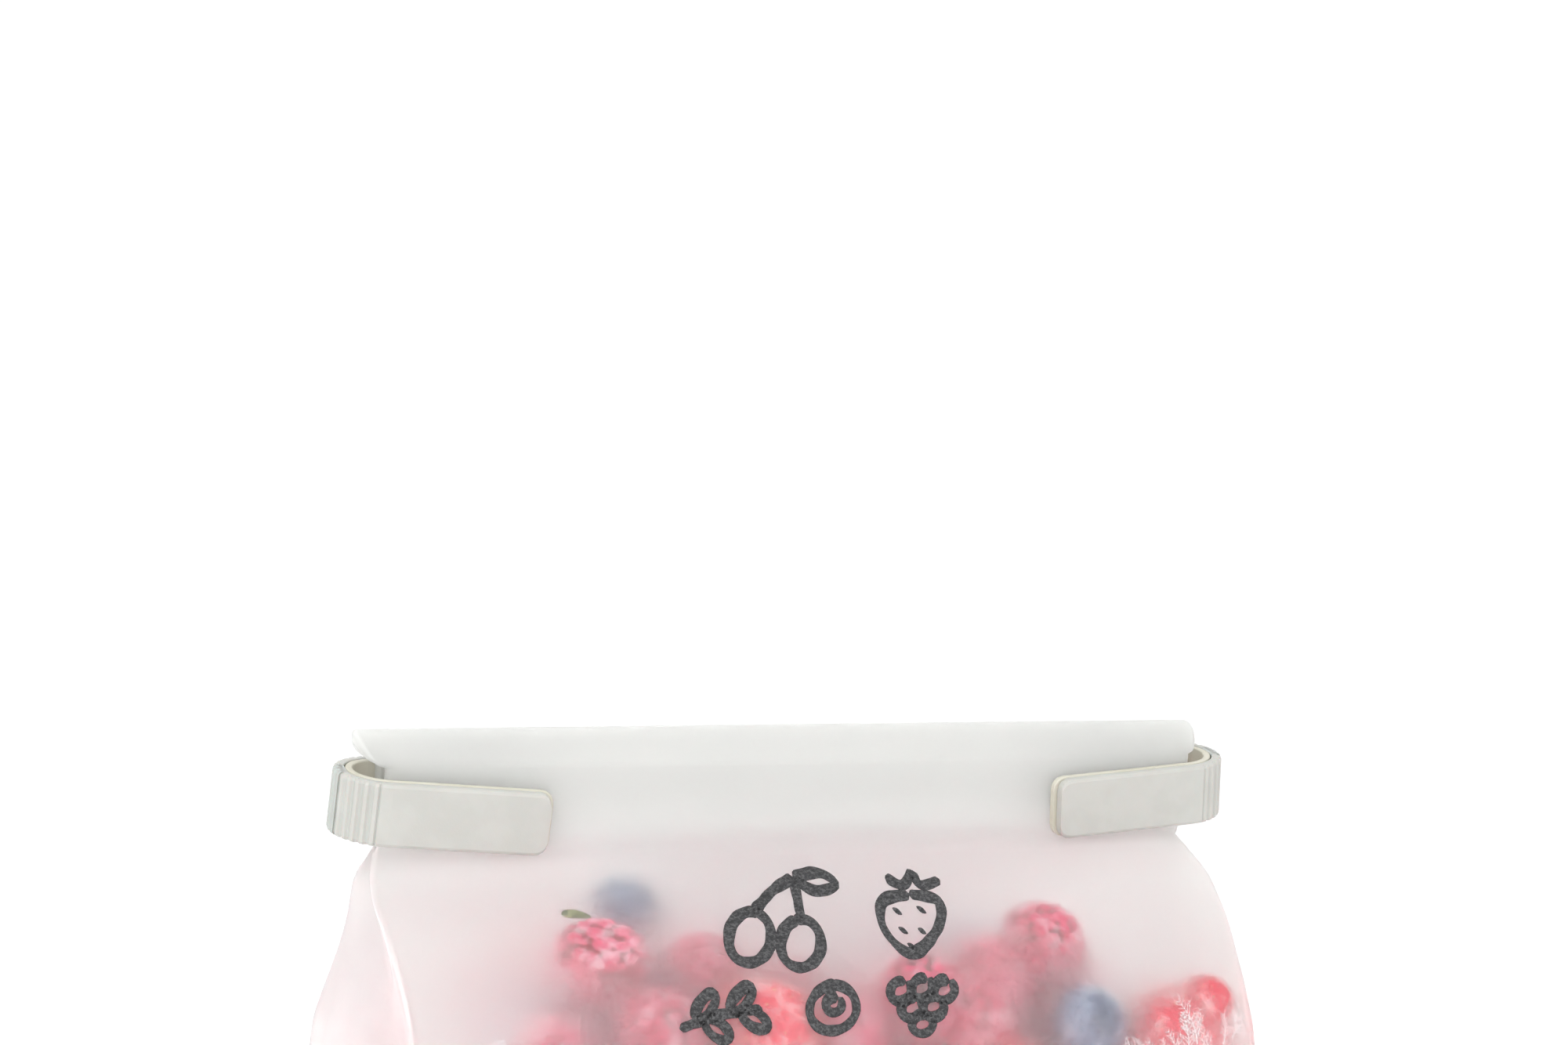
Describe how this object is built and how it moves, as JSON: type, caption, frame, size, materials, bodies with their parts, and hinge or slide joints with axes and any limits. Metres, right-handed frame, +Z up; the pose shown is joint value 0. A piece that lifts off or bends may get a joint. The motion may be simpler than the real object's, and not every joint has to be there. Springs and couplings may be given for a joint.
{
  "type": "frozen fruit bag",
  "caption": "Stand-up frosted silicone bag filled with frozen berries, its mouth folded over and held shut by a U-shaped clip at each side",
  "frame": {"origin": "centre of the footprint, on the surface the bag stands on", "axes": "+X is the bag's width to the viewer's right, -Y faces the front panel, +Z is up"},
  "size_m": [0.2018, 0.1178, 0.172],
  "materials": {
    "frosted_film": "frosted milky silicone, satin",
    "clip_plastic": "warm off-white, satin",
    "clip_liner": "warm cream, matte",
    "raspberry_red": "frosted fruit",
    "blueberry_skin": "dusty bloom",
    "strawberry_red": "frosted fruit with pale seeds",
    "bramble_purple": "dark frosted fruit",
    "leaf_green": "dull olive leaf",
    "frost": "ice crystals",
    "marker_ink": "chalky charcoal marker"
  },
  "bodies": {
    "root": {"bag": "frosted_film", "clip_left": "clip_plastic", "clip_right": "clip_plastic", "clip_left_liner": "clip_liner", "clip_right_liner": "clip_liner"}
  },
  "joints": []
}
